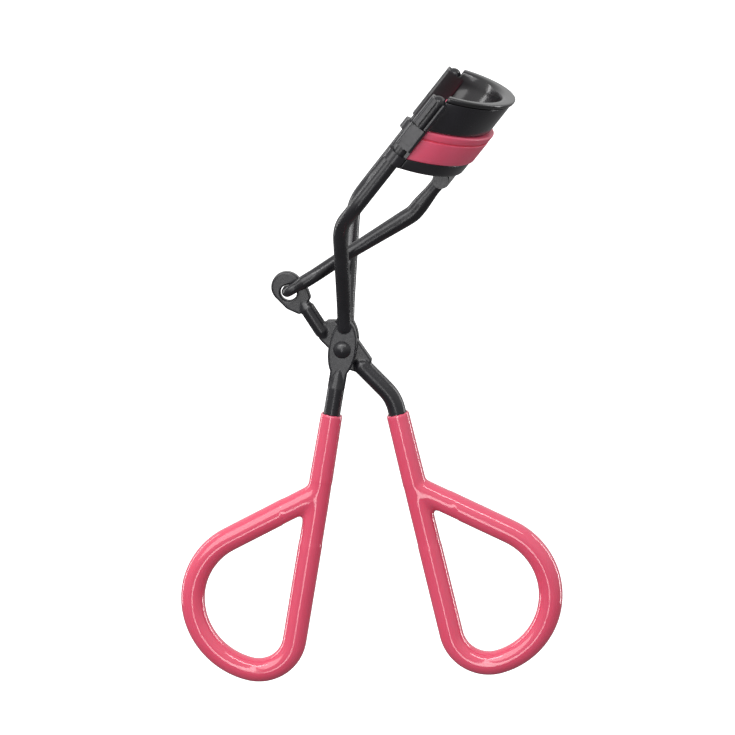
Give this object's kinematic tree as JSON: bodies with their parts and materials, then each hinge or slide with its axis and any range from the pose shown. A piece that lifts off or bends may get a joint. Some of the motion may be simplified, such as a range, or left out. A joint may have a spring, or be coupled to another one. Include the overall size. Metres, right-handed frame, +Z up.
{
  "type": "eyelash curler",
  "caption": "Scissor-handled eyelash curler: dipped finger loops, forked side rods, bowed fixed jaw and a sliding lower jaw with a silicone pad, pulled by a push link.",
  "frame": {"origin": "middle of the fixed finger loop, on the middle plane of the tool", "axes": "+Z up along the tool from the finger loops to the jaws, +X from the fixed handle towards the moving handle, +Y along the main pivot"},
  "size_m": [0.0657, 0.0314, 0.105],
  "materials": {
    "rod_metal": "satin charcoal black lacquer",
    "jaw_metal": "glossy black lacquer",
    "guard_plastic": "glossy moulded black",
    "grip_dip": "smooth dipped vinyl, soft gloss",
    "pad_silicone": "satin silicone"
  },
  "bodies": {
    "frame": {"fixed_handle": "rod_metal", "fixed_handle_grip": "grip_dip", "rear_side_rod": "rod_metal", "pivot_rivet": "rod_metal", "upper_jaw_band": "jaw_metal", "upper_jaw_guard": "guard_plastic", "near_end_sleeve": "jaw_metal", "far_end_sleeve": "jaw_metal"},
    "moving_lever": {"moving_handle": "rod_metal", "moving_handle_grip": "grip_dip"},
    "lower_jaw": {"lower_jaw_channel": "jaw_metal", "link_bracket": "jaw_metal", "lash_pad": "pad_silicone", "near_slide_block": "jaw_metal", "far_slide_block": "jaw_metal", "near_guide_eyelet": "jaw_metal", "far_guide_eyelet": "jaw_metal"},
    "link": {"push_link": "rod_metal", "link_cross_pin": "rod_metal"}
  },
  "joints": [
    {"name": "handle_pivot", "type": "hinge", "parent": "frame", "child": "moving_lever", "pos_m": [0.0155, 0, 0.0431], "axis": [0, -1, 0], "range_deg": [0, 36]},
    {"name": "jaw_slide", "type": "slide", "parent": "frame", "child": "lower_jaw", "axis": [-0.6088, 0, -0.7934], "range_m": [0, 0.0076]},
    {"name": "link_hinge", "type": "hinge", "parent": "lower_jaw", "child": "link", "pos_m": [0.03227, 0, 0.0727], "axis": [0, -1, 0], "range_deg": [0, 2.72]}
  ],
  "couplings": [
    {"joint": "jaw_slide", "follows": "handle_pivot", "m_per_rad": 0.012},
    {"joint": "link_hinge", "follows": "handle_pivot", "ratio": 0.075}
  ]
}
